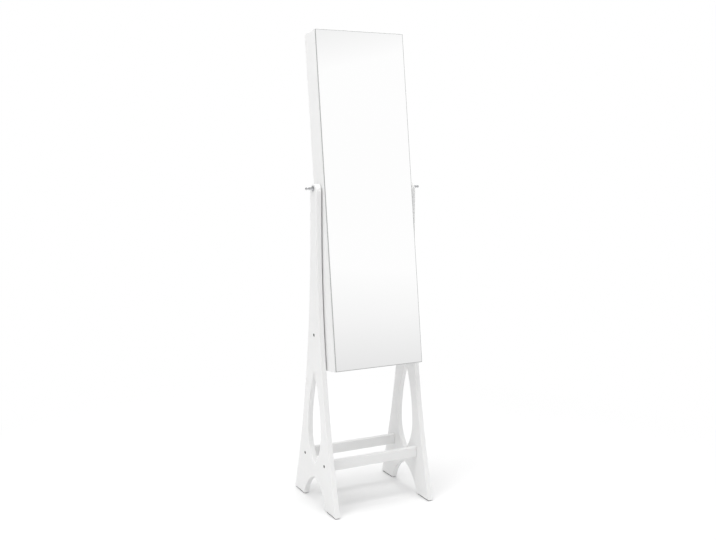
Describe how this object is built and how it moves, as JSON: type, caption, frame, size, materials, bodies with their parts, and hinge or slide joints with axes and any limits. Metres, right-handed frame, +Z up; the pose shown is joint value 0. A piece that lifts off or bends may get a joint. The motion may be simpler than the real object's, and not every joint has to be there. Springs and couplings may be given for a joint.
{
  "type": "jewelry mirror cabinet",
  "caption": "Free-standing jewelry cabinet with a full-length mirror door, which tilts between two flared side panels and is clamped by a turned knob on each side.",
  "frame": {"origin": "on the floor, in the middle of the stand's four feet", "axes": "+Z up, +X to the right as seen from the front, -Y towards the person at the mirror"},
  "size_m": [0.4226, 0.333, 1.565],
  "materials": {
    "white_lacquer": "satin white lacquer on fibreboard",
    "beech": "bare beech",
    "black_velvet": "black velvet",
    "dark_steel": "blackened steel",
    "zinc_steel": "zinc-plated steel",
    "chrome_metal": "polished chrome",
    "brass_metal": "plain brass",
    "dark_rubber": "matt rubber",
    "white_nylon": "moulded nylon",
    "foam_tape": "foam tape",
    "mirror_glass": "silvered float glass with a polished edge"
  },
  "bodies": {
    "stand": {"side_panel_left": "white_lacquer", "side_panel_right": "white_lacquer", "lower_stretcher_front": "white_lacquer", "lower_stretcher_rear": "white_lacquer", "upper_crossbar": "white_lacquer", "stretcher_bolts": "dark_steel", "barrel_nuts": "zinc_steel", "stretcher_dowels": "beech", "foot_pads": "dark_rubber", "pivot_bushes": "white_nylon"},
    "cabinet": {"pivot_inserts": "brass_metal", "pivot_spacers": "white_nylon", "cabinet_side_left": "white_lacquer", "cabinet_side_right": "white_lacquer", "cabinet_top": "white_lacquer", "cabinet_bottom": "white_lacquer", "cabinet_back": "white_lacquer", "back_lining": "black_velvet", "shelf_one": "white_lacquer", "shelf_two": "white_lacquer", "shelf_three": "white_lacquer", "shelf_four": "white_lacquer", "shelf_lips": "white_lacquer", "carcass_dowels": "beech", "shelf_dowels": "beech", "hook_rail": "white_lacquer", "necklace_pegs": "chrome_metal", "ring_cushions": "black_velvet", "earring_bars": "black_velvet", "earring_posts": "white_lacquer", "bracelet_bar": "black_velvet", "bracelet_brackets": "white_nylon", "catch_housings": "white_nylon", "catch_magnets": "zinc_steel", "hinge_leaves_cabinet": "zinc_steel", "hinge_pins": "zinc_steel", "hinge_screws_cabinet": "zinc_steel"},
    "door": {"hinge_leaves_door": "zinc_steel", "hinge_screws_door": "zinc_steel", "strike_plates": "zinc_steel", "strike_screws": "zinc_steel", "door_panel": "white_lacquer", "mirror_adhesive": "foam_tape", "mirror_glass": "mirror_glass"},
    "left_knob": {"tilt_knob_left": "chrome_metal", "knob_washer_left": "chrome_metal", "tilt_stud_left": "zinc_steel"},
    "right_knob": {"tilt_knob_right": "chrome_metal", "knob_washer_right": "chrome_metal", "tilt_stud_right": "zinc_steel"}
  },
  "joints": [
    {"name": "cabinet_tilt", "type": "hinge", "parent": "stand", "child": "cabinet", "pos_m": [0, 0, 1.0574], "axis": [-1, 0, 0], "range_deg": [-1.4, 10]},
    {"name": "door_swing", "type": "hinge", "parent": "cabinet", "child": "door", "pos_m": [0.1636, -0.02758, 1.06128], "axis": [0, 0.1392, 0.9903], "range_deg": [0, 90]},
    {"name": "left_knob_turn", "type": "hinge", "parent": "cabinet", "child": "left_knob", "pos_m": [-0.183, 0, 1.0574], "axis": [-1, 0, 0], "range_deg": [0, 360]},
    {"name": "right_knob_turn", "type": "hinge", "parent": "cabinet", "child": "right_knob", "pos_m": [0.183, 0, 1.0574], "axis": [1, 0, 0], "range_deg": [0, 360]}
  ]
}
